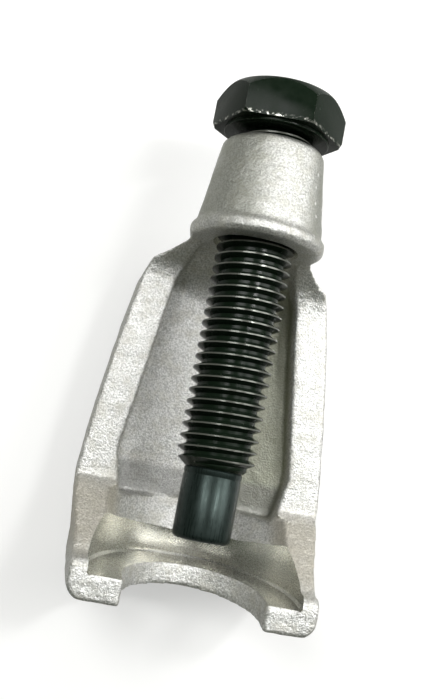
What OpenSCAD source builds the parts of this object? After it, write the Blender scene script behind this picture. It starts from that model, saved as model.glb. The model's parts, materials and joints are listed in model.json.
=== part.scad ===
// Fork-type arm puller for tie rods and pitman arms.
// A forged C-shaped body carries a hexagon-headed forcing screw above an open fork.
// The tool lies on its back: the open side faces +Z and the screw runs along Y,
// with its head at +Y. The origin is on the ground, under the middle of the tool.
// Every module below is drawn with the screw upright on Z, with z = 0 at the tips
// of the fork and +Y towards the back, and lay_down() turns it over.

/* [Forcing screw] */
// Major diameter of the 5/8 in thread
thread_d = 15.88; // [15:0.01:16.5]
// Pitch of the thread, 11 turns to the inch
thread_pitch = 2.309; // [2:0.001:2.5]
// Width of the hexagon head across its flats
hex_across_flats = 23.8; // [22:0.1:25]
// Height of the hexagon head
hex_height = 8.4; // [7:0.1:11]
// Diameter of the round washer face under the head
washer_face_d = 22.2; // [20:0.1:22.8]
// Height of the washer face
washer_face_h = 0.6; // [0.3:0.1:1]
// Free thread between the washer face and the top of the hub
head_gap = 2.1; // [1:0.1:6]

/* [Thrust tip] */
// Diameter of the plain thrust tip
tip_d = 11.7; // [10:0.1:12.6]
// Length of the thrust tip below the thread
tip_length = 14.2; // [8:0.1:16]
// Diameter of the stem that holds the tip in the screw
stem_d = 6; // [4:0.1:7]
// Length of the stem
stem_length = 8; // [5:0.5:10]
// Running clearance on the radius, at the stem and at the threaded bore
clearance = 0.05; // [0.02:0.01:0.08]

/* [Hub] */
// Diameter of the hub at its top face
hub_top_d = 21.2; // [20:0.1:22.5]
// Diameter of the hub at its foot
hub_foot_d = 27.6; // [26:0.1:29]
// Height of the hub's top face above the fork tips
hub_top_z = 96.5; // [94:0.1:99]
// Height of the arm's underside, where the screw comes out
ceiling_z = 75; // [73:0.1:76]

/* [Body] */
// Greatest width of the body across its ribs
body_w = 52.4; // [50:0.1:56]
// Width across the two shoulders
shoulder_w = 39.6; // [37:0.1:42]
// Width across the fork
fork_w = 49.2; // [47:0.1:50]
// Distance from the screw's axis back to the flat back face
back_y = 28; // [27:0.1:31]
// Distance from the screw's axis back to the front faces of the ribs
rib_front_y = 11.5; // [10.5:0.1:12.5]
// Width of the front face of each rib
rib_w = 7.4; // [6:0.1:8.5]
// Depth of the web's trough behind the ribs, at its middle
trough_depth = 7.5; // [6:0.1:8]

/* [Fork] */
// Width of the fork's open slot
slot_w = 28; // [26:0.1:30]
// Distance from the screw's axis back to the closed end of the slot
slot_back_y = 11; // [9:0.1:12]
// Distance from the screw's axis forward to the ends of the prongs
prong_y = 6.5; // [4:0.1:9]
// Thickness of the prongs
prong_t = 5.4; // [4.5:0.1:6.5]
// Slope of the fork down towards its prongs, in degrees
fork_slope = 11.3; // [8:0.1:14]
// Radius of the machined seat that takes the arm's boss
seat_r = 21.2; // [20.5:0.1:22]
// Greatest height of the machined wall round the seat
seat_wall_h = 8.5; // [7:0.1:9]

/* [Hidden] */
$fn = 96;
overlap = 0.02;                 // small overrun that keeps cuts clean
bore_overrun = 1;               // how far the bore's cutter runs past both faces
run_past = 40;                  // how far a through cut runs past the body

// Screw
thread_r = thread_d / 2;
thread_depth = 0.6134 * thread_pitch;
root_r = thread_r - thread_depth;
crest_flat = thread_pitch / 8;
root_flat = thread_pitch / 4;
flank = (thread_pitch - crest_flat - root_flat) / 2;
head_z = hub_top_z + head_gap;
hex_z = head_z + washer_face_h;
top_z = hex_z + hex_height;
hex_corner_r = hex_across_flats / sqrt(3);
screw_end_z = 28.8;             // where the thread stops above the tip
thread_turns = floor((head_z - screw_end_z - thread_pitch) / thread_pitch);
tip_end_z = screw_end_z - tip_length;
tip_chamfer = 1.2;
stem_end_chamfer = 0.6;
stem_gap = 0.5;                 // space left above the stem in its hole
head_corner_drop = 2.6;         // fall of the head's top chamfer at its corners
head_top_inset = 0.3;           // how far the flat top lies inside the flats
head_top_r = hex_across_flats / 2 - head_top_inset;
foot_chamfer = 0.5;
head_turn = -12;                // how the head stands at rest

// Hub
hub_foot_r = hub_foot_d / 2;
hub_top_r = hub_top_d / 2;
hub_edge_r = 1.6;
hub_edge_steps = 6;
lip_h = 2.6;                    // height of the lip round the hub's foot
lip_bevel = 1.2;
lip_proud = 0.2;                // how far the lip stands out past the cone
lip_undercut = 0.3;             // how far the cone's foot lies inside hub_foot_d
bore_r = thread_r + clearance;
bore_chamfer = 0.9;

// Front outline
body_half_w = body_w / 2;
shoulder_half_w = shoulder_w / 2;
fork_half_w = fork_w / 2;
fork_corner_r = 3.5;            // rounding of the fork's lower outer corners
fork_side_z = 12;               // top of the fork's straight sides
hip_z = 19;                     // the rounding between the fork and the flanks
hip_inset = 0.5;
widest_z = 24.5;
flank_top_z = 67.5;
flank_bow = 0.5;                // how far a flank bows out from a straight line
flank_steps = 6;
shoulder_z = 71;
shoulder_step = 0.9;            // taper of the rounded shoulder, above the flank
arm_half_w = 8;                 // half width of the arm's top, behind the hub
arm_top_z = 86;
arm_front_y = -2;

// Side outline
fork_rise = tan(fork_slope);
knee_z = 23.5;                  // where the ribs turn forward to the fork
knee_run = 14;                  // how far the ribs come forward below the knee
knee_fall = 15;                 // how far they fall over that distance
toe_drop = 1.8;                 // rounding of the fork's upper front edge
ceiling_bend_r = 9;
back_bend_r = 14;               // bend at the top of the flat back
back_bend_z = 64;
back_bend_angle = 44;
heel_r = 7;
under_slope = 14;               // slope of the fork's underside, in degrees
heel_z = heel_r + (back_y + prong_y - heel_r) * tan(under_slope);
arm_back_y = 11;
back_corner_r = 13;             // rounding of the two long edges of the back
bend_steps = 8;

// Trough
rib_top_thinning = 1;           // how much thinner the ribs are at the shoulders
rib_foot_growth = 0.3;          // how much thicker they are at their widest
trough_top_half_w = shoulder_half_w - rib_w + rib_top_thinning;
trough_half_w = body_half_w - rib_w - rib_foot_growth;
trough_wide_z = 30;             // height where the trough is widest
trough_foot_half_w = 16.4;      // half width at the trough's foot, above the seat
trough_rib_depth = 5.2;         // depth of the trough beside the ribs
trough_bend_r = 13;
trough_top_drop = 4;            // from the shoulders down to where the trough narrows
trough_top_z = shoulder_z - trough_top_drop;
trough_foot_z = 22;             // floor of the trough at its back, parallel to the seat
trough_side_z = 20;             // height where its sides start to flare
web_undercut = 1.2;             // how far the web falls back towards its foot
web_undercut_h = 5.5;
trough_top_inset = 3;           // narrowing of the trough up to the ceiling

// Fork
slot_r = slot_w / 2;
slot_centre_y = slot_back_y - slot_r;
floor_z = prong_t + prong_y * fork_rise;   // seat height on the screw's axis
pocket_foot_r = seat_r - 1.3;
pocket_top_r = seat_r + 1.6;
pocket_z = 15;                  // where the cast pocket starts to widen
pocket_top_z = 22.2;

// Points of an arc, from one angle to another.
function arc(centre, r, from, to, steps = 10) =
    [for (i = [0:steps])
        let (angle = from + (to - from) * i / steps)
            centre + r * [cos(angle), sin(angle)]];

// Point of a flank, with t from 0 at its widest to 1 at its top.
function flank(t) = [
    body_half_w - (body_half_w - shoulder_half_w - shoulder_step) * t + 4 * flank_bow * t * (1 - t),
    widest_z + (flank_top_z - widest_z) * t];

// Right half of the front outline, as [x, z] points.
half_outline = concat(
    arc([fork_half_w - fork_corner_r, fork_corner_r], fork_corner_r, -90, 0, bend_steps),
    [[fork_half_w, fork_side_z]],
    [[body_half_w - hip_inset, hip_z]],
    [for (i = [0:flank_steps]) flank(i / flank_steps)],
    [[shoulder_half_w - shoulder_step / 2, shoulder_z]],
    [[hub_foot_r - lip_bevel, ceiling_z + lip_bevel / 2]],
    [[arm_half_w, arm_top_z]]);

// Side outline of the body, as [y, z] points: under the fork, up the back,
// over the arm, under the hub and down the front of the ribs.
side_outline = concat(
    [[-prong_y, 0]],
    arc([back_y - heel_r, heel_z], heel_r, under_slope - 90, 0, bend_steps),
    arc([back_y - back_bend_r, back_bend_z], back_bend_r, 0, back_bend_angle, bend_steps),
    [[arm_back_y, arm_top_z], [arm_front_y, arm_top_z], [arm_front_y, ceiling_z]],
    arc([rib_front_y - ceiling_bend_r, ceiling_z - ceiling_bend_r], ceiling_bend_r, 90, 0, bend_steps),
    [[rib_front_y, knee_z], [rib_front_y - knee_run, knee_z - knee_fall]],
    [[-prong_y + toe_drop / 2, knee_z - knee_fall - toe_drop / 3]],
    [[-prong_y, knee_z - knee_fall - toe_drop]]);

// Front of the web behind the ribs, as [y, z] points.
web_y = rib_front_y + trough_depth;
web_outline = concat(
    [[-prong_y, trough_foot_z - (web_y + prong_y) * fork_rise], [web_y + web_undercut, trough_foot_z]],
    [[web_y, trough_foot_z + web_undercut_h]],
    arc([web_y - trough_bend_r, ceiling_z - trough_bend_r], trough_bend_r, 0, 90, bend_steps),
    [[-prong_y, ceiling_z]]);

// Outline of one turn of the thread, as [radius, z] points from root to root.
function thread_turn(z) = [
    [root_r, z],
    [thread_r, z + flank],
    [thread_r, z + flank + crest_flat],
    [root_r, z + 2 * flank + crest_flat]];

// Turns a shape that stands on the fork over onto its back.
module lay_down() {
    translate([0, -top_z / 2, back_y]) rotate([-90, 0, 0]) children();
}

// Extrudes [y, z] points across the tool.
module across(points, width) {
    translate([-width / 2, 0, 0]) rotate([90, 0, 90]) linear_extrude(width) polygon(points);
}

// Extrudes [x, z] points from front to back.
module front_to_back(points) {
    translate([0, back_y + run_past, 0]) rotate([90, 0, 0])
        linear_extrude(2 * run_past + back_y) polygon(points);
}

// The forging without its trough: its side outline, cut to its front outline
// and rounded along both edges of the back.
module forged_block() {
    left = [for (i = [len(half_outline) - 1:-1:0]) [-half_outline[i][0], half_outline[i][1]]];
    corner_x = body_half_w - back_corner_r;
    corner_y = back_y - back_corner_r;
    intersection() {
        across(side_outline, body_w + 2 * overlap);
        front_to_back(concat(half_outline, left));
        linear_extrude(hub_top_z)
            polygon(concat(
                [[-body_half_w, -run_past], [body_half_w, -run_past]],
                arc([corner_x, corner_y], back_corner_r, 0, 90),
                arc([-corner_x, corner_y], back_corner_r, 90, 180)));
    }
}

// The conical hub with its rounded top edge and the lip round its foot.
module hub() {
    lip_r = hub_foot_r + lip_proud;
    edge_centre = [hub_top_r + lip_proud - hub_edge_r, hub_top_z - hub_edge_r];
    rotate_extrude()
        polygon(concat(
            [[0, ceiling_z], [lip_r - lip_bevel, ceiling_z], [lip_r, ceiling_z + lip_bevel]],
            [[lip_r, ceiling_z + lip_h]],
            [[hub_foot_r - lip_undercut, ceiling_z + lip_h + lip_proud + lip_undercut]],
            arc(edge_centre, hub_edge_r, 10, 90, hub_edge_steps),
            [[0, hub_top_z]]));
}

// The recess between the ribs, with a concave web at its back.
module web_trough() {
    sag = trough_depth - trough_rib_depth;
    web_r = (trough_half_w * trough_half_w + sag * sag) / (2 * sag);
    right = [
        [trough_foot_half_w, pocket_z],
        [trough_foot_half_w, trough_side_z],
        [trough_half_w, trough_wide_z],
        [trough_top_half_w, trough_top_z],
        [trough_top_half_w - trough_top_inset, ceiling_z]];
    left = [for (i = [len(right) - 1:-1:0]) [-right[i][0], right[i][1]]];
    intersection() {
        across(web_outline, body_w);
        front_to_back(concat(right, left));
        translate([0, web_y - web_r, 0]) cylinder(r = web_r, h = hub_top_z, $fn = 180);
    }
}

// The cast pocket above the seat, centred on the slot. It widens upwards, and its
// foot stops at the sloping seat.
module cast_pocket() {
    foot_z = floor_z - fork_rise * body_w / 2;
    difference() {
        translate([0, slot_centre_y, 0])
            rotate_extrude()
                polygon([
                    [0, foot_z], [pocket_foot_r, foot_z], [pocket_foot_r, pocket_z],
                    [pocket_top_r, pocket_top_z], [0, pocket_top_z]]);
        translate([0, 0, floor_z]) rotate([fork_slope, 0, 0])
            translate([-body_w / 2, -body_w / 2, -body_w]) cube([body_w, body_w, body_w]);
    }
}

// The round machined seat, square to the sloping fork and centred on the slot.
module machined_seat() {
    translate([0, 0, floor_z]) rotate([fork_slope, 0, 0]) translate([0, slot_centre_y, 0])
        cylinder(r = seat_r, h = seat_wall_h);
}

// The open slot between the prongs, with a half-round closed end.
module slot() {
    translate([0, slot_centre_y, -overlap]) cylinder(r = slot_r, h = pocket_z);
    translate([-slot_r, -run_past, -overlap]) cube([slot_w, run_past + slot_centre_y, pocket_z]);
}

// The threaded bore at the crest size of the screw, chamfered at both ends.
module bore() {
    translate([0, 0, ceiling_z - bore_overrun])
        cylinder(r = bore_r, h = hub_top_z - ceiling_z + 2 * bore_overrun);
    translate([0, 0, ceiling_z - overlap])
        cylinder(r1 = bore_r + bore_chamfer, r2 = bore_r, h = bore_chamfer);
    translate([0, 0, hub_top_z - bore_chamfer + overlap])
        cylinder(r1 = bore_r, r2 = bore_r + bore_chamfer, h = bore_chamfer);
}

module puller_body() {
    color("silver") lay_down()
        difference() {
            union() {
                forged_block();
                hub();
            }
            web_trough();
            cast_pocket();
            machined_seat();
            slot();
            bore();
        }
}

// Hexagon head with its top corners turned off.
module hex_head() {
    translate([0, 0, hex_z])
        intersection() {
            rotate([0, 0, head_turn]) cylinder(r = hex_corner_r, h = hex_height, $fn = 6);
            rotate_extrude()
                polygon([
                    [0, 0], [hex_corner_r - foot_chamfer, 0], [hex_corner_r + overlap, 2 * foot_chamfer],
                    [hex_corner_r + overlap, hex_height - head_corner_drop], [head_top_r, hex_height],
                    [0, hex_height]]);
        }
}

// The shank: a ring for each turn of the thread, with the washer face on top
// and a short taper down to the tip at its lower end.
module shank() {
    turns = [for (i = [0:thread_turns - 1]) thread_turn(screw_end_z + thread_pitch + i * thread_pitch)];
    rotate_extrude()
        polygon(concat(
            [[0, screw_end_z], [tip_d / 2, screw_end_z], [root_r, screw_end_z + thread_pitch / 2]],
            [for (turn = turns) each turn],
            [[root_r, head_z], [washer_face_d / 2, head_z]],
            [[washer_face_d / 2, hex_z + overlap], [0, hex_z + overlap]]));
}

// The hole in the end of the screw that takes the tip's stem.
module stem_hole() {
    translate([0, 0, screw_end_z - overlap])
        cylinder(d = stem_d + 2 * clearance, h = stem_length + stem_gap);
}

module forcing_screw() {
    color("darkslategray") lay_down()
        difference() {
            union() {
                hex_head();
                shank();
            }
            stem_hole();
        }
}

// The thrust tip: a plain pin with a chamfered end and a stem on top.
module thrust_tip() {
    tip_r = tip_d / 2;
    stem_r = stem_d / 2;
    collar_z = screw_end_z - clearance;
    color("dimgray") lay_down()
        rotate_extrude()
            polygon([
                [0, tip_end_z], [tip_r - tip_chamfer, tip_end_z], [tip_r, tip_end_z + tip_chamfer],
                [tip_r, collar_z], [stem_r, collar_z],
                [stem_r, screw_end_z + stem_length - stem_end_chamfer],
                [stem_r - stem_end_chamfer, screw_end_z + stem_length], [0, screw_end_z + stem_length]]);
}

puller_body();
forcing_screw();
thrust_tip();
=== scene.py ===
"""Studio scene of a fork-type arm puller that lies on its back.

The pieces are modelled in millimetres with the screw upright: X across the tool, Y towards
its back, Z up the screw, and z = 0 at the tips of the fork. place() then turns each piece
over onto its back, where the frame has it.
"""
import json
import math

import bmesh
import bpy
import numpy as np
from mathutils import Matrix, Vector, noise


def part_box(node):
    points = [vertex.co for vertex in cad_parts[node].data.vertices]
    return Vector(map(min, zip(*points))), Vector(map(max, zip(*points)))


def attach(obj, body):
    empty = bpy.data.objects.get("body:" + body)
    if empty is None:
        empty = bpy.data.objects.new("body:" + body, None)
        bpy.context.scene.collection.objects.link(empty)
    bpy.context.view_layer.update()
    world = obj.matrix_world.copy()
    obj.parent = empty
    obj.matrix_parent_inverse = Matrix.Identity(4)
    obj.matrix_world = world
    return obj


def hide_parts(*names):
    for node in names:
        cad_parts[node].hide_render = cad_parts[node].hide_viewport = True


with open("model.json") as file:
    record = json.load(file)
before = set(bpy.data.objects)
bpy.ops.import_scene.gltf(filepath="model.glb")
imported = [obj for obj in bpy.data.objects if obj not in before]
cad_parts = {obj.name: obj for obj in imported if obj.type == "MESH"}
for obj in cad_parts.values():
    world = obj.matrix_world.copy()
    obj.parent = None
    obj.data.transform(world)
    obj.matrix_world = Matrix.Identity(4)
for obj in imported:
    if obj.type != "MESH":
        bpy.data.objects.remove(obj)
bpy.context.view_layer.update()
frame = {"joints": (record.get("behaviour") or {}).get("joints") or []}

MM = 0.001

# --- Sizes from the frame, in millimetres ------------------------------------------------

BODY_BOX = [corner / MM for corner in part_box("puller_body")]
SCREW_BOX = [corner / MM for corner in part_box("forcing_screw")]
TIP_BOX = [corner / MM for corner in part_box("thrust_tip")]
TURN = next(joint for joint in frame["joints"] if joint["name"] == "screw_turn")
BACK_Y = TURN["pos_m"][2] / MM
FOOT = BODY_BOX[0].y
BODY_HALF_W = BODY_BOX[1].x
TOP_Z = SCREW_BOX[1].y - FOOT
SCREW_END_Z = SCREW_BOX[0].y - FOOT
TIP_END_Z = TIP_BOX[0].y - FOOT
TIP_R = TIP_BOX[1].x
STEM_TOP_Z = TIP_BOX[1].y - FOOT

# --- Other sizes of the tool, in millimetres and degrees ----------------------------------

PITCH = 2.309                   # 11 turns to the inch
THREAD_R = 7.94                 # crest radius of a 5/8 in thread
THREAD_DEPTH = 0.6134 * PITCH   # depth of a 60 degree thread with flat crests and roots
THREAD_START = 1.2              # height of a crest on the right of the screw, from z = 0
HEX_FLATS = 23.8                # 15/16 in across the flats
HEX_Z = 99.2                    # underside of the hexagon
HEAD_Z = 98.6                   # underside of the washer face
HEAD_TURN = -12                 # how far the hexagon is turned from a corner on the right, in degrees
WASHER_R = 11.1
STEM_R = 3                      # stem of the thrust tip, in its hole in the screw
CLEARANCE = 0.05                # running clearance on a radius

HUB_TOP_R = 10.6
HUB_FOOT_R = 13.8
HUB_TOP_Z = 96.5
CEILING_Z = 75                  # underside of the hub, where the bore opens over the web
SHOULDER_HALF_W = 19.8          # the body where its flanks turn in to the hub
SHOULDER_Z = 71
FORK_HALF_W = 24.6
ARM_TOP_Z = 86                  # top of the arm that joins the back to the hub
RIB_FRONT_Y = 11.5
RIB_W = 7.4
KNEE_Z = 23.5                   # where the ribs turn forwards to the prongs
KNEE_RUN = 14                   # how far forwards they run from there
KNEE_FALL = 15                  # how far down they fall on the way
WEB_Y = 19                      # face of the web between the ribs
PRONG_Y = 6.5                   # how far the prongs reach in front of the screw's axis
PRONG_T = 5.4                   # thickness of the prongs at their ends
FORK_SLOPE = 11.3               # tilt of the fork's upper face, in degrees
FORK_RISE = math.tan(math.radians(FORK_SLOPE))
FLOOR_Z = PRONG_T + PRONG_Y * FORK_RISE
SEAT_R = 21.2                   # the round seat that is turned in the fork
SEAT_WALL_H = 8.5
SKIN_CUT = 0.2                  # how far the seat's cutter goes below the forging's skin
SLOT_R = 14                     # the slot between the prongs
SLOT_CENTRE_Y = -3
RUN_PAST = 40                   # how far a through cut runs past the body

# --- Settings of the meshes and lights ----------------------------------------------------

VOXEL = 0.42                    # grain of the forging's mesh, in millimetres
SMOOTHING = 10                  # passes that round the forging's edges
SEGMENTS = 128                  # steps round a turned shape
SHARP_ANGLE = 38                # edges of turned pieces that bend more than this stay sharp
LIGHT_DISTANCE = 0.6            # in metres, from the frame's origin


# --- Mesh helpers ---------------------------------------------------------------------

def arc(centre, radius, start, end, steps=10):
    """Points of an arc from one angle to another, in degrees."""
    angles = [math.radians(start + (end - start) * i / steps) for i in range(steps + 1)]
    return [(centre[0] + radius * math.cos(a), centre[1] + radius * math.sin(a)) for a in angles]


def mirrored(half):
    """A closed outline from its right half, listed from the foot to the top."""
    return half + [(-u, v) for u, v in reversed(half)]


def mesh_object(name, points, faces):
    """A new object with this mesh and outward normals."""
    mesh = bpy.data.meshes.new(name)
    mesh.from_pydata(points, [], faces)
    shape = bmesh.new()
    shape.from_mesh(mesh)
    bmesh.ops.remove_doubles(shape, verts=shape.verts, dist=0.0005)
    bmesh.ops.recalc_face_normals(shape, faces=shape.faces)
    shape.to_mesh(mesh)
    shape.free()
    piece = bpy.data.objects.new(name, mesh)
    bpy.context.collection.objects.link(piece)
    return piece


def prism(name, outline, axis, start, end):
    """A flat outline drawn out along an axis: [y, z] for x, [x, z] for y and [x, y] for z."""
    def point(u, v, along):
        return {"x": (along, u, v), "y": (u, along, v), "z": (u, v, along)}[axis]
    count = len(outline)
    points = [point(u, v, along) for along in (start, end) for u, v in outline]
    sides = [(i, (i + 1) % count, (i + 1) % count + count, i + count) for i in range(count)]
    return mesh_object(name, points, sides + [tuple(range(count)), tuple(range(count, 2 * count))])


def lathe(name, profile, centre_y=0.0, segments=SEGMENTS):
    """A solid turned about a line along Z. The profile's [radius, z] points start and end at radius 0."""
    points = [(0, centre_y, profile[0][1])]
    for radius, z in profile[1:-1]:
        for i in range(segments):
            angle = 2 * math.pi * i / segments
            points.append((radius * math.cos(angle), centre_y + radius * math.sin(angle), z))
    points.append((0, centre_y, profile[-1][1]))
    top = len(points) - 1
    last = top - segments
    faces = []
    for i in range(segments):
        j = (i + 1) % segments
        faces.append((0, 1 + i, 1 + j))
        faces.append((top, last + i, last + j))
        for ring in range(len(profile) - 3):
            low = 1 + ring * segments
            faces.append((low + i, low + j, low + segments + j, low + segments + i))
    return mesh_object(name, points, faces)


def apply_modifiers(piece):
    """Makes what the piece's modifiers do part of its mesh."""
    graph = bpy.context.evaluated_depsgraph_get()
    mesh = bpy.data.meshes.new_from_object(piece.evaluated_get(graph))
    piece.modifiers.clear()
    piece.data = mesh


def combine(piece, tool, operation):
    """Joins the tool to the piece, cuts it out of it, or keeps what they share."""
    change = piece.modifiers.new("combine", "BOOLEAN")
    change.object = tool
    change.operation = operation
    change.solver = "MANIFOLD"
    change.material_mode = "TRANSFER"
    apply_modifiers(piece)
    bpy.data.objects.remove(tool)


def remesh(piece):
    """Rebuilds the piece as one even skin and rounds its edges a little, as forging does."""
    skin = piece.modifiers.new("skin", "REMESH")
    skin.mode = "VOXEL"
    skin.voxel_size = VOXEL
    skin.use_smooth_shade = True
    soften = piece.modifiers.new("soften", "SMOOTH")
    soften.factor = 0.5
    soften.iterations = SMOOTHING
    apply_modifiers(piece)


def place(piece):
    """Turns a piece that stands on z = 0 over onto its back, where the frame has it, in metres."""
    lay_down = Matrix(((1, 0, 0, 0), (0, 0, 1, FOOT), (0, -1, 0, BACK_Y), (0, 0, 0, 1)))
    piece.data.transform(Matrix.Diagonal((MM, MM, MM, 1)) @ lay_down)
    piece.data.update()


def shade(piece, sharp_angle, rough_skin=()):
    """Smooth shading with sharp edges past an angle and where two materials meet.

    Faces of a material in rough_skin have no sharp edges between them.
    """
    piece.data.shade_smooth()
    shape = bmesh.new()
    shape.from_mesh(piece.data)
    for edge in shape.edges:
        if len(edge.link_faces) != 2:
            continue
        first, second = (face.material_index for face in edge.link_faces)
        bent = edge.calc_face_angle() > math.radians(sharp_angle)
        edge.smooth = first == second and (not bent or first in rough_skin)
    shape.to_mesh(piece.data)
    shape.free()


# --- Material helpers -----------------------------------------------------------------

def add(tree, kind, inputs=(), **settings):
    """Adds a node. inputs pairs an input's name or number with a value or another node's output."""
    node = tree.nodes.new("ShaderNode" + kind)
    for name, value in settings.items():
        setattr(node, name, value)
    for name, value in dict(inputs).items():
        if isinstance(value, bpy.types.NodeSocket):
            tree.links.new(value, node.inputs[name])
        else:
            node.inputs[name].default_value = value
    return node


def math_node(tree, operation, first, second=0.0):
    """One sum on two values, or on the first alone."""
    return add(tree, "Math", {0: first, 1: second}, operation=operation).outputs[0]


def times(tree, first, *others):
    """The product of some values, such as masks from 0 to 1."""
    for other in others:
        first = math_node(tree, "MULTIPLY", first, other)
    return first


def ramp(tree, value, low, high, start=0.0, end=1.0):
    """Start below low, end above high, and a smooth change between them."""
    inputs = {"Value": value, "From Min": low, "From Max": high, "To Min": start, "To Max": end}
    return add(tree, "MapRange", inputs, interpolation_type="SMOOTHSTEP").outputs["Result"]


def mix(tree, share, first, second):
    """Mixes two colours by a share from 0 to 1."""
    node = add(tree, "Mix", data_type="RGBA", clamp_factor=True)
    for socket, value in zip((node.inputs[0], node.inputs[6], node.inputs[7]), (share, first, second)):
        if isinstance(value, bpy.types.NodeSocket):
            tree.links.new(value, socket)
        else:
            socket.default_value = value
    return node.outputs[2]


def grain(tree, place_mm, scale, detail=3.0, roughness=0.55):
    """Noise from 0 to 1, with the scale in features to the millimetre."""
    inputs = {"Vector": place_mm, "Scale": scale, "Detail": detail, "Roughness": roughness}
    return add(tree, "TexNoise", inputs).outputs["Fac"]


def bump(tree, height, depth_mm, strength=1.0, under=None):
    """Bump from a height of 0 to 1, over a depth in millimetres."""
    inputs = {"Height": height, "Distance": depth_mm * MM, "Strength": strength}
    if under is not None:
        inputs["Normal"] = under
    return add(tree, "Bump", inputs).outputs["Normal"]


def new_material(name):
    """A material with its shader, and the surface's place in millimetres.

    The place runs to the right, up the screw from the tips of the fork, and up from the floor.
    """
    material = bpy.data.materials.new(name)
    material.use_nodes = True
    tree = material.node_tree
    tree.nodes.clear()
    shader = add(tree, "BsdfPrincipled")
    output = add(tree, "OutputMaterial")
    tree.links.new(shader.outputs[0], output.inputs["Surface"])
    coords = add(tree, "TexCoord").outputs["Object"]
    to_mm = {"Vector": coords, "Scale": (1 / MM, 1 / MM, 1 / MM), "Location": (0, -FOOT, 0)}
    place_mm = add(tree, "Mapping", to_mm).outputs["Vector"]
    return material, tree, shader, place_mm


def axes(tree, place_mm):
    """How far a surface point is to the right, up the screw and above the floor, in millimetres."""
    return add(tree, "SeparateXYZ", {"Vector": place_mm}).outputs


def set_shader(tree, shader, **inputs):
    """Sets or links the shader's inputs, named with _ for a space."""
    for name, value in inputs.items():
        socket = shader.inputs[name.replace("_", " ")]
        if isinstance(value, bpy.types.NodeSocket):
            tree.links.new(value, socket)
        else:
            socket.default_value = value


# --- Materials ------------------------------------------------------------------------

def zinc_colour(tree, place_mm, speckle, blotch):
    """Speckled silver with yellowish blotches, and a warmer tint with painted shade on the knees. Also
    gives the knees' mask.
    """
    grey, bright, yellowish = (0.48, 0.48, 0.46, 1), (0.86, 0.86, 0.84, 1), (0.52, 0.50, 0.42, 1)
    brown, tan = (0.50, 0.46, 0.38, 1), (0.66, 0.62, 0.53, 1)
    right, up, _ = (axes(tree, place_mm)[axis] for axis in "XYZ")
    knee = times(tree, ramp(tree, up, KNEE_Z + 2, KNEE_Z - 4), ramp(tree, up, 6, 12),
                 ramp(tree, math_node(tree, "ABSOLUTE", right), 15, 18))
    silver = mix(tree, ramp(tree, speckle, 0.36, 0.64), grey, bright)
    silver = mix(tree, ramp(tree, blotch, 0.42, 0.7, 0, 0.35), silver, yellowish)
    # The knees: a warmer tint and painted shade.
    warm_knee_shade = mix(tree, ramp(tree, speckle, 0.35, 0.65), brown, tan)
    return mix(tree, times(tree, knee, 0.7), silver, warm_knee_shade), knee


def paint_web_shade(tree, place_mm, colour):
    """Painted shade on the web: olive over its right, and a dark band where the web meets the pocket."""
    olive_shade, dark = (0.38, 0.39, 0.29, 1), (0.26, 0.26, 0.25, 1)
    right, up, height = (axes(tree, place_mm)[axis] for axis in "XYZ")
    rib_front = BACK_Y - RIB_FRONT_Y
    web = times(tree, ramp(tree, height, rib_front - 1, rib_front - 5), ramp(tree, height, 4, 8),
                ramp(tree, math_node(tree, "ABSOLUTE", right), 19, 18))
    # Painted shade: olive over the right of the web.
    shade_on_right = times(tree, web, ramp(tree, right, -2, 9, 0, 0.75), ramp(tree, up, 20, 24))
    colour = mix(tree, shade_on_right, colour, olive_shade)
    # Painted shade: a dark band along the foot of the web.
    foot_band_shade = times(tree, web, ramp(tree, up, 29, 27, 0, 0.6), ramp(tree, up, 21.5, 22.5))
    return mix(tree, foot_band_shade, colour, dark)


def paint_hub_shade(tree, place_mm, colour):
    """Painted shade on the hub, most of all down its two sides."""
    shadow = (0.24, 0.25, 0.20, 1)
    right, up, height = (axes(tree, place_mm)[axis] for axis in "XYZ")
    on_hub = times(tree, ramp(tree, up, SHOULDER_Z + 4, SHOULDER_Z + 8, 0, 0.6), ramp(tree, height, 27, 30))
    sides = math_node(tree, "MAXIMUM", ramp(tree, right, 0, -6, 0.35, 1), ramp(tree, right, 6, 10, 0.35, 1))
    return mix(tree, times(tree, on_hub, sides), colour, shadow)


def shade_creases_brighten_edges(tree, colour, knee):
    """Painted shade in the creases, and bright edges, partly wear and partly painted highlight, except at
    the knees.
    """
    painted_crease_shade, wear_and_edge_highlight = (0.16, 0.16, 0.13, 1), (0.95, 0.95, 0.93, 1)
    bend = add(tree, "NewGeometry").outputs["Pointiness"]
    # Painted shade in the creases.
    colour = mix(tree, ramp(tree, bend, 0.48, 0.43, 0, 0.85), colour, painted_crease_shade)
    # Bright edges: wear together with painted highlight.
    worn = times(tree, ramp(tree, bend, 0.57, 0.65, 0, 0.8), ramp(tree, knee, 0, 0.4, 1, 0))
    return mix(tree, worn, colour, wear_and_edge_highlight)


def cast_zinc():
    """Shot-blasted, zinc-plated forging with an uneven, speckled surface."""
    material, tree, shader, place_mm = new_material("cast_zinc")
    speckle = grain(tree, place_mm, 2.6, 4, 0.65)
    blotch = grain(tree, place_mm, 0.35, 3)
    colour, knee = zinc_colour(tree, place_mm, speckle, blotch)
    colour = paint_web_shade(tree, place_mm, colour)
    colour = paint_hub_shade(tree, place_mm, colour)
    colour = shade_creases_brighten_edges(tree, colour, knee)
    pits = bump(tree, speckle, 0.22, 0.8)
    waves = bump(tree, grain(tree, place_mm, 0.9, 2), 0.25, 0.5, pits)
    roughness = ramp(tree, blotch, 0.3, 0.7, 0.38, 0.50)
    set_shader(tree, shader, Base_Color=colour, Metallic=0.95, Roughness=roughness, Normal=waves)
    return material


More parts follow.
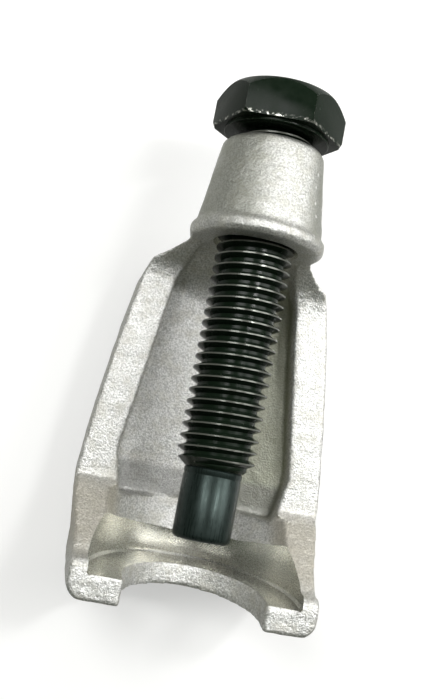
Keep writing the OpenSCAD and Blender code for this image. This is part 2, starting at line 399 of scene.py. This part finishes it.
def machined_steel():
    """Plated seat with the fine rings that its cutter left."""
    grey, cream = (0.66, 0.66, 0.62, 1), (0.80, 0.79, 0.73, 1)
    material, tree, shader, place_mm = new_material("machined_steel")
    cloud = grain(tree, place_mm, 0.12, 1)
    fine = grain(tree, place_mm, 5, 2)
    rings = add(tree, "TexWave", {"Vector": place_mm, "Scale": 1.6, "Distortion": 0.6, "Detail": 2},
                wave_type="BANDS", bands_direction="Y").outputs["Fac"]
    colour = mix(tree, ramp(tree, cloud, 0.35, 0.65), grey, cream)
    normal = bump(tree, rings, 0.02, 0.35, bump(tree, fine, 0.03, 0.4))
    roughness = ramp(tree, fine, 0.3, 0.7, 0.20, 0.30)
    set_shader(tree, shader, Base_Color=colour, Metallic=0.95, Roughness=roughness, Normal=normal)
    return material


def bare_steel(tree, up, radius, on_head, place_mm):
    """Where the black is gone: along the thread's crests, and in scuffs at the foot of the hexagon."""
    crest = times(tree, ramp(tree, radius, THREAD_R - 0.08, THREAD_R - 0.01),
                  math_node(tree, "SUBTRACT", 1.0, on_head), 0.3)
    near_foot = times(tree, ramp(tree, up, HEX_Z + 1.0, HEX_Z + 0.2),
                      ramp(tree, up, HEX_Z + 0.05, HEX_Z + 0.15))
    scuffs = ramp(tree, grain(tree, place_mm, 1.1, 5, 0.7), 0.5, 0.62)
    return math_node(tree, "MAXIMUM", times(tree, near_foot, on_head, scuffs), crest)


def black_oxide():
    """Black finish of the screw, a little green, and less reflective in the roots and on the head."""
    black, lighter_black, steel = (0.003, 0.008, 0.004, 1), (0.012, 0.020, 0.012, 1), (0.42, 0.42, 0.38, 1)
    material, tree, shader, place_mm = new_material("black_oxide")
    right, up, height = (axes(tree, place_mm)[axis] for axis in "XYZ")
    above = math_node(tree, "SUBTRACT", height, BACK_Y)
    across = add(tree, "CombineXYZ", {0: right, 1: above}).outputs[0]
    radius = add(tree, "VectorMath", {0: across}, operation="LENGTH").outputs["Value"]
    on_head = ramp(tree, up, HEAD_Z - 0.1, HEAD_Z)
    bare = bare_steel(tree, up, radius, on_head, place_mm)
    patch = grain(tree, place_mm, 0.5, 3)
    colour = mix(tree, bare, mix(tree, patch, black, lighter_black), steel)
    roughness = ramp(tree, patch, 0.3, 0.75, 0.13, 0.28)
    shank_gloss = ramp(tree, radius, THREAD_R - THREAD_DEPTH, THREAD_R - 0.3, 0.12, 0.3)
    gloss = add(tree, "Mix", {0: on_head, 2: shank_gloss, 3: 0.07}).outputs[0]
    normal = bump(tree, grain(tree, place_mm, 4, 3), 0.05, 0.3)
    set_shader(tree, shader, Base_Color=colour, Metallic=bare, Roughness=roughness, Normal=normal,
               Specular_IOR_Level=gloss)
    return material


def worn_edge():
    """Edges of the head, where spanners have broken the black down to bare steel."""
    black, steel = (0.02, 0.026, 0.022, 1), (0.46, 0.45, 0.41, 1)
    material, tree, shader, place_mm = new_material("worn_edge")
    bare = ramp(tree, grain(tree, place_mm, 1.5, 4, 0.7), 0.46, 0.6)
    colour = mix(tree, bare, black, steel)
    roughness = add(tree, "MapRange", {"Value": bare, "To Min": 0.3, "To Max": 0.42}).outputs["Result"]
    set_shader(tree, shader, Base_Color=colour, Metallic=ramp(tree, bare, 0, 1, 0.3, 0.95),
               Roughness=roughness)
    return material


def dark_steel():
    """Satin dark steel of the thrust tip, with the marks of its turning."""
    dark, paler = (0.012, 0.022, 0.019, 1), (0.032, 0.046, 0.042, 1)
    material, tree, shader, place_mm = new_material("dark_steel")
    patch = grain(tree, place_mm, 0.8, 3)
    stretched = add(tree, "Mapping", {"Vector": place_mm, "Scale": (3, 0.25, 3)}).outputs["Vector"]
    streak = grain(tree, stretched, 1.0, 3, 0.6)
    rings = add(tree, "TexWave", {"Vector": place_mm, "Scale": 1.4, "Distortion": 1.0, "Detail": 2},
                wave_type="BANDS", bands_direction="Y").outputs["Fac"]
    colour = mix(tree, patch, dark, paler)
    roughness = ramp(tree, streak, 0.3, 0.7, 0.24, 0.4)
    normal = bump(tree, rings, 0.015, 0.25, bump(tree, streak, 0.05, 0.3))
    set_shader(tree, shader, Base_Color=colour, Metallic=0.6, Roughness=roughness, Normal=normal,
               Specular_IOR_Level=0.35)
    return material


# --- Puller body ----------------------------------------------------------------------

def flank(share):
    """Point of a flank, from 0 at its widest to 1 at its top."""
    widest_z, top_z, bow, step = 24.5, 67.5, 0.5, 0.9
    narrowing = BODY_HALF_W - SHOULDER_HALF_W - step
    return (BODY_HALF_W - narrowing * share + 4 * bow * share * (1 - share),
            widest_z + (top_z - widest_z) * share)


def front_outline():
    """Outline of the body from the front, as [x, z] points."""
    corner_r, side_z, hip_z, hip_inset = 3.5, 12, 19, 0.5
    shoulder_inset, lip_bevel, arm_half_w = 0.45, 1.2, 8
    half = arc((FORK_HALF_W - corner_r, corner_r), corner_r, -90, 0, 8)
    half += [(FORK_HALF_W, side_z), (BODY_HALF_W - hip_inset, hip_z)]
    half += [flank(i / 6) for i in range(7)]
    half += [(SHOULDER_HALF_W - shoulder_inset, SHOULDER_Z)]
    half += [(HUB_FOOT_R - lip_bevel, CEILING_Z + lip_bevel / 2)]
    half += [(arm_half_w, ARM_TOP_Z)]
    return mirrored(half)


def side_outline():
    """Outline of the body from its side, as [y, z] points: under the fork, up the back and down."""
    heel_r, under_slope, toe_drop = 7, 14, 1.8
    heel_z = heel_r + (BACK_Y + PRONG_Y - heel_r) * math.tan(math.radians(under_slope))
    back_bend_r, back_bend_z, back_bend_angle = 14, 64, 44
    ceiling_bend_r, arm_back_y, arm_front_y = 9, 11, -2
    return (
        [(-PRONG_Y, 0)]
        + arc((BACK_Y - heel_r, heel_z), heel_r, under_slope - 90, 0, 8)
        + arc((BACK_Y - back_bend_r, back_bend_z), back_bend_r, 0, back_bend_angle, 8)
        + [(arm_back_y, ARM_TOP_Z), (arm_front_y, ARM_TOP_Z), (arm_front_y, CEILING_Z)]
        + arc((RIB_FRONT_Y - ceiling_bend_r, CEILING_Z - ceiling_bend_r), ceiling_bend_r, 90, 0, 8)
        + [(RIB_FRONT_Y, KNEE_Z), (RIB_FRONT_Y - KNEE_RUN, KNEE_Z - KNEE_FALL)]
        + [(-PRONG_Y + toe_drop / 2, KNEE_Z - KNEE_FALL - toe_drop / 3)]
        + [(-PRONG_Y, KNEE_Z - KNEE_FALL - toe_drop)]
    )


def back_outline():
    """Plan of the body, with its two long edges rounded at the back."""
    corner_r = 13
    x, y = BODY_HALF_W - corner_r, BACK_Y - corner_r
    return ([(-BODY_HALF_W - 1, -RUN_PAST), (BODY_HALF_W + 1, -RUN_PAST), (BODY_HALF_W + 1, y)]
            + arc((x, y), corner_r, 0, 90) + arc((-x, y), corner_r, 90, 180)
            + [(-BODY_HALF_W - 1, y)])


def hub():
    """Cone of the hub, with a rounded top edge and a lip round its foot."""
    lip_h, bevel, proud, undercut, edge_r = 2.4, 0.8, 0.2, 0.7, 1.6
    lip_r = HUB_FOOT_R + proud
    return lathe("hub", (
        [(0, CEILING_Z), (lip_r - bevel, CEILING_Z), (lip_r, CEILING_Z + bevel)]
        + [(lip_r, CEILING_Z + lip_h), (HUB_FOOT_R - undercut, CEILING_Z + lip_h + proud + undercut)]
        + arc((HUB_TOP_R + proud - edge_r, HUB_TOP_Z - edge_r), edge_r, 10, 90, 6)
        + [(0, HUB_TOP_Z)]))


def web_trough():
    """The recess between the ribs, with a concave web at its back."""
    foot_z, undercut, undercut_h, bend_r = 22, 1.2, 5.5, 13
    depth, rib_depth, pocket_z, side_z, wide_z = 7.5, 5.2, 15, 20, 30
    foot_half_w, top_z, top_inset = 16.4, SHOULDER_Z - 4, 3
    half_w, top_half_w = BODY_HALF_W - RIB_W - 0.3, SHOULDER_HALF_W - RIB_W + 1
    sag = depth - rib_depth
    web_r = (half_w ** 2 + sag ** 2) / (2 * sag)
    side = ([(-RUN_PAST, foot_z - (WEB_Y + RUN_PAST) * FORK_RISE), (WEB_Y + undercut, foot_z)]
            + [(WEB_Y, foot_z + undercut_h)]
            + arc((WEB_Y - bend_r, CEILING_Z - bend_r), bend_r, 0, 90, 12)
            + [(-RUN_PAST, CEILING_Z)])
    front = mirrored([(foot_half_w, pocket_z - RUN_PAST), (foot_half_w, side_z), (half_w, wide_z),
                      (top_half_w, top_z), (top_half_w - top_inset, CEILING_Z)])
    trough = prism("trough", side, "x", -BODY_HALF_W, BODY_HALF_W)
    combine(trough, prism("sides", front, "y", -RUN_PAST, BACK_Y), "INTERSECT")
    barrel = lathe("barrel", [(0, -RUN_PAST), (web_r, -RUN_PAST), (web_r, TOP_Z), (0, TOP_Z)],
                   WEB_Y - web_r, 4 * SEGMENTS)
    combine(trough, barrel, "INTERSECT")
    return trough


def on_fork(piece):
    """Tilts a shape drawn on z = 0 to the sloping fork, at the height of its seat."""
    tilt = Matrix.Translation((0, 0, FLOOR_Z)) @ Matrix.Rotation(math.radians(FORK_SLOPE), 4, "X")
    piece.data.transform(tilt)
    return piece


def cast_pocket():
    """The pocket above the seat, which widens upwards and stops at the sloping seat."""
    foot_r, top_r, waist_z, top_z, foot_z = SEAT_R - 1.3, SEAT_R + 1.6, 15, 22.2, 0
    pocket = lathe("pocket", [(0, foot_z), (foot_r, foot_z), (foot_r, waist_z), (top_r, top_z), (0, top_z)],
                   SLOT_CENTRE_Y)
    square = [(-RUN_PAST, -RUN_PAST), (RUN_PAST, -RUN_PAST), (RUN_PAST, RUN_PAST), (-RUN_PAST, RUN_PAST)]
    combine(pocket, on_fork(prism("under", square, "z", -RUN_PAST, 0)), "DIFFERENCE")
    return pocket


def slot():
    """The open slot between the prongs, with a half-round closed end."""
    top_z = 15
    outline = [(-SLOT_R, -RUN_PAST), (SLOT_R, -RUN_PAST)] + arc((0, SLOT_CENTRE_Y), SLOT_R, 0, 180, 48)
    return prism("slot", outline, "z", -1, top_z)


def forging():
    """The rough forging: one even skin with rounded edges."""
    piece = prism("forged_body", side_outline(), "x", -BODY_HALF_W - 1, BODY_HALF_W + 1)
    combine(piece, prism("front", front_outline(), "y", -RUN_PAST, BACK_Y + RUN_PAST), "INTERSECT")
    combine(piece, prism("plan", back_outline(), "z", -1, HUB_TOP_Z), "INTERSECT")
    combine(piece, hub(), "UNION")
    for tool in (web_trough(), cast_pocket(), slot()):
        combine(piece, tool, "DIFFERENCE")
    remesh(piece)
    return piece


def dent(piece, size_mm, depth_mm):
    """Moves the skin in and out a little, by seeded noise with lumps of this size."""
    count = len(piece.data.vertices)
    places = np.empty(count * 3, np.float32)
    normals = np.empty(count * 3, np.float32)
    piece.data.vertices.foreach_get("co", places)
    piece.data.vertex_normals.foreach_get("vector", normals)
    lumps = [noise.fractal(Vector(point) / size_mm, 1.0, 2.0, 2) for point in places.reshape(-1, 3)]
    places += normals * np.repeat(lumps, 3) * depth_mm
    piece.data.vertices.foreach_set("co", places)
    piece.data.update()


def machined_seat():
    """Cutter of the round seat, square to the sloping fork."""
    groove_r, groove_depth = 0.35, 0.2
    floor, wall_r = -SKIN_CUT, SEAT_R + SKIN_CUT
    return on_fork(lathe("seat", [
        (0, floor), (wall_r - 2 * groove_r, floor), (wall_r - groove_r, floor - groove_depth),
        (wall_r + groove_depth, floor + groove_r), (wall_r, floor + 2 * groove_r),
        (wall_r, SEAT_WALL_H), (0, SEAT_WALL_H)], SLOT_CENTRE_Y, 2 * SEGMENTS))


def bore():
    """Cutter of the bore, chamfered at both ends."""
    radius, chamfer, overrun = THREAD_R + CLEARANCE, 0.9, 2
    foot_z, top_z, mouth_r = CEILING_Z - overrun, HUB_TOP_Z + overrun, radius + chamfer
    return lathe("bore", [
        (0, foot_z), (mouth_r, foot_z), (mouth_r, CEILING_Z), (radius, CEILING_Z + chamfer),
        (radius, HUB_TOP_Z - chamfer), (mouth_r, HUB_TOP_Z), (mouth_r, top_z), (0, top_z)])


def make_body():
    """The forging, lumpy and then machined at its seat and its bore."""
    cast, machined = cast_zinc(), machined_steel()
    piece = forging()
    for size_mm, depth_mm in ((5.0, 0.10), (1.6, 0.05)):
        dent(piece, size_mm, depth_mm)
    piece.data.materials.clear()
    piece.data.materials.append(cast)
    for tool in (machined_seat(), bore()):
        tool.data.materials.append(machined)
        combine(piece, tool, "DIFFERENCE")
    shade(piece, 30, rough_skin=(0,))
    place(piece)
    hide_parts("puller_body")
    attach(piece, "body")


# --- Forcing screw --------------------------------------------------------------------

def thread_radius(share):
    """Radius of the thread at a share of the pitch from the middle of its crest."""
    away = abs((share + 0.5) % 1.0 - 0.5)
    crest, root = 1 / 16, 3 / 8
    return THREAD_R - THREAD_DEPTH * min(max((away - crest) / (root - crest), 0.0), 1.0)


def threaded_shank():
    """The shank with a true right-hand helix, tapered at its foot and run out under the head.

    Each column goes straight up the shank, and starts a little higher than the column before it.
    """
    shares = [0, 0.04, 0.0625, 0.1, 0.22, 0.345, 0.375, 0.43]
    shares += [0.5] + [1 - share for share in reversed(shares[1:])]
    columns, per_turn = 96, len(shares)
    turns = int((HEAD_Z - SCREW_END_Z) / PITCH) + 4
    base = SCREW_END_Z - 2 * PITCH
    base += (THREAD_START - base) % PITCH
    end_r, taper, run_out = TIP_R - 0.05, 1.2, 2
    heights = np.array([(turn + share) * PITCH for turn in range(turns) for share in shares])
    radii = np.array([thread_radius(share) for _ in range(turns) for share in shares])
    points = []
    for i in range(columns):
        angle = 2 * math.pi * i / columns
        for height, radius in zip(base + heights + PITCH * i / columns, radii):
            z = min(max(height, SCREW_END_Z), HEAD_Z)
            foot_limit = end_r + (z - SCREW_END_Z) * taper
            top_limit = THREAD_R - THREAD_DEPTH + (HEAD_Z - z) * run_out
            r = min(radius, foot_limit, top_limit)
            points.append((r * math.cos(angle), r * math.sin(angle), z))
    rows = turns * per_turn
    faces = []
    for i in range(columns):
        shift = per_turn if i == columns - 1 else 0
        here, there = i * rows, ((i + 1) % columns) * rows
        for row in range(rows - 1 - shift):
            faces.append((here + row, there + row + shift, there + row + shift + 1, here + row + 1))
    shank = mesh_object("shank", points, faces)
    close_ends(shank)
    return shank


def close_ends(piece):
    """Fills the two round holes at the ends of an open tube."""
    shape = bmesh.new()
    shape.from_mesh(piece.data)
    loose = [vertex for vertex in shape.verts if not vertex.link_faces]
    bmesh.ops.delete(shape, geom=loose, context="VERTS")
    bmesh.ops.holes_fill(shape, edges=[edge for edge in shape.edges if edge.is_boundary], sides=0)
    bmesh.ops.recalc_face_normals(shape, faces=shape.faces)
    shape.to_mesh(piece.data)
    shape.free()


def hex_head():
    """Hexagon head with a crowned top, a chamfered foot and a washer face under it."""
    corner_r = HEX_FLATS / math.sqrt(3)
    corner_drop, top_inset, foot_chamfer, past_corner = 2.6, 0.3, 0.5, 0.02
    corners = [math.radians(HEAD_TURN + 60 * i) for i in range(6)]
    outline = [(corner_r * math.cos(a), corner_r * math.sin(a)) for a in corners]
    head = prism("head", outline, "z", HEX_Z, TOP_Z)
    crown = lathe("crown", [
        (0, HEX_Z), (corner_r - foot_chamfer, HEX_Z), (corner_r + past_corner, HEX_Z + 2 * foot_chamfer),
        (corner_r + past_corner, TOP_Z - corner_drop), (HEX_FLATS / 2 - top_inset, TOP_Z), (0, TOP_Z)])
    combine(head, crown, "INTERSECT")
    combine(head, washer_face(), "UNION")
    return head


def washer_face():
    """The round face under the hexagon, which runs up into it a little."""
    edge, top_z = 0.15, HEX_Z + 0.3
    return lathe("washer", [(0, HEAD_Z), (WASHER_R - edge, HEAD_Z), (WASHER_R, HEAD_Z + edge),
                            (WASHER_R, top_z), (0, top_z)])


def bevel(piece, width, slot_number):
    """Rounds the piece's edges, with the material in this slot."""
    edge = piece.modifiers.new("edge", "BEVEL")
    edge.width = width
    edge.segments = 3
    edge.limit_method = "ANGLE"
    edge.angle_limit = math.radians(25)
    edge.material = slot_number
    apply_modifiers(piece)


def stem_hole():
    """Cutter of the hole that holds the thrust tip's stem."""
    radius, foot_z, top_z = STEM_R + CLEARANCE, SCREW_END_Z - 1, STEM_TOP_Z + 0.5
    return lathe("hole", [(0, foot_z), (radius, foot_z), (radius, top_z), (0, top_z)])


def make_screw():
    """The forcing screw: head, threaded shank and the hole for the tip's stem."""
    black, worn = black_oxide(), worn_edge()
    piece = hex_head()
    piece.name = "threaded_screw"
    piece.data.materials.clear()
    for material in (black, worn):
        piece.data.materials.append(material)
    bevel(piece, 0.28, slot_number=1)
    for tool, operation in ((threaded_shank(), "UNION"), (stem_hole(), "DIFFERENCE")):
        tool.data.materials.append(black)
        combine(piece, tool, operation)
    piece.data.shade_smooth()
    piece.data.set_sharp_from_angle(angle=math.radians(SHARP_ANGLE))
    place(piece)
    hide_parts("forcing_screw")
    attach(piece, "screw")


# --- Thrust tip -----------------------------------------------------------------------

def make_tip():
    """The thrust tip: a pin with a rounded end and a fine groove near its top, and its stem."""
    top_z, edge_r, face_inset, stem_chamfer = SCREW_END_Z - CLEARANCE, 1.2, 0.6, 0.5
    groove_r, chamfer = TIP_R - 0.12, 0.2
    piece = lathe("turned_tip", (
        [(0, TIP_END_Z), (TIP_R - edge_r - face_inset, TIP_END_Z)]
        + arc((TIP_R - edge_r, TIP_END_Z + edge_r), edge_r, -90, 0, 8)
        + [(TIP_R, top_z - 1.6), (groove_r, top_z - 1.4), (groove_r, top_z - 1.2), (TIP_R, top_z - 1.0)]
        + [(TIP_R, top_z - chamfer), (TIP_R - chamfer, top_z), (STEM_R, top_z)]
        + [(STEM_R, STEM_TOP_Z - stem_chamfer), (STEM_R - stem_chamfer, STEM_TOP_Z), (0, STEM_TOP_Z)]))
    piece.data.materials.append(dark_steel())
    piece.data.shade_smooth()
    piece.data.set_sharp_from_angle(angle=math.radians(SHARP_ANGLE))
    place(piece)
    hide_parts("thrust_tip")
    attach(piece, "tip")


# --- Camera, floor and light ----------------------------------------------------------

def make_camera():
    """The photograph's camera: it looks down at the tool, from a little to its left and its foot."""
    azimuth, elevation, roll = (math.radians(angle) for angle in (-9.0, 8.09, 10.9))
    distance = 203 * MM
    aim = Vector((-4.375, -1.2, 27.307)) * MM
    ahead = Vector((-math.sin(azimuth) * math.cos(elevation), math.sin(elevation),
                    -math.cos(azimuth) * math.cos(elevation)))
    right = Vector((math.cos(azimuth), 0, -math.sin(azimuth)))
    up = right.cross(ahead)
    x_axis = right * math.cos(roll) + up * math.sin(roll)
    y_axis = up * math.cos(roll) - right * math.sin(roll)
    data = bpy.data.cameras.new("camera")
    data.lens = 51.43
    data.clip_start = 0.01
    camera = bpy.data.objects.new("camera", data)
    basis = Matrix((x_axis, y_axis, -ahead)).transposed().to_4x4()
    camera.matrix_world = Matrix.Translation(aim - ahead * distance) @ basis
    bpy.context.collection.objects.link(camera)
    bpy.context.scene.camera = camera


def make_floor():
    """A pale floor, with a glow that only the camera sees, so that it throws less light on the tool."""
    half = 3.0
    corners = [(-half, -half, 0), (half, -half, 0), (half, half, 0), (-half, half, 0)]
    floor = mesh_object("floor", corners, [(0, 1, 2, 3)])
    paper = (0.55, 0.55, 0.54, 1)
    material, tree, shader, _ = new_material("paper")
    seen = add(tree, "LightPath").outputs["Is Camera Ray"]
    glow = times(tree, seen, 0.5)
    set_shader(tree, shader, Base_Color=paper, Roughness=0.9,
               Emission_Color=(1, 1, 1, 1), Emission_Strength=glow)
    floor.data.materials.append(material)


def toward(right_deg, head_deg):
    """Direction that leans to the right and to the tool's head from straight up."""
    right, head = math.radians(right_deg), math.radians(head_deg)
    return Vector((math.sin(right) * math.cos(head), math.sin(head), math.cos(right) * math.cos(head)))


def area_light(name, direction, width, height, energy):
    """A soft light that faces the middle of the tool, LIGHT_DISTANCE away."""
    data = bpy.data.lights.new(name, "AREA")
    data.shape = "RECTANGLE"
    data.size = width
    data.size_y = height
    data.energy = energy
    lamp = bpy.data.objects.new(name, data)
    lamp.location = direction * LIGHT_DISTANCE
    lamp.rotation_euler = direction.to_track_quat("Z", "Y").to_euler()
    bpy.context.collection.objects.link(lamp)


def make_light():
    """Soft light from both sides and the head, a narrow glint, and a dim room, brightest at the head.

    The room looks pale to the camera only.
    """
    gloom, daylight, backdrop = (0.06, 0.07, 0.045, 1), (0.22, 0.22, 0.20, 1), (0.86, 0.86, 0.86, 1)
    area_light("key", toward(24, 14), 0.24, 0.24, 0.40)
    area_light("side", toward(52, 16), 0.30, 0.32, 1.7)
    area_light("fill", toward(-24, 16), 0.20, 0.30, 1.6)
    area_light("head", toward(20, 56), 0.50, 0.30, 0.6)
    area_light("glint", toward(22, 14), 0.04, 0.12, 0.9)
    world = bpy.data.worlds.new("room")
    world.use_nodes = True
    bpy.context.scene.world = world
    tree = world.node_tree
    direction = add(tree, "TexCoord").outputs["Generated"]
    facing = add(tree, "VectorMath", {0: direction, 1: toward(25, 45)},
                 operation="DOT_PRODUCT").outputs["Value"]
    colour = mix(tree, ramp(tree, facing, 0.0, 1.0), gloom, daylight)
    seen = add(tree, "LightPath").outputs["Is Camera Ray"]
    colour = mix(tree, seen, colour, backdrop)
    tree.links.new(colour, tree.nodes["Background"].inputs["Color"])
    bpy.context.scene.view_settings.view_transform = "Standard"


make_camera()
make_floor()
make_light()
make_body()
make_screw()
make_tip()
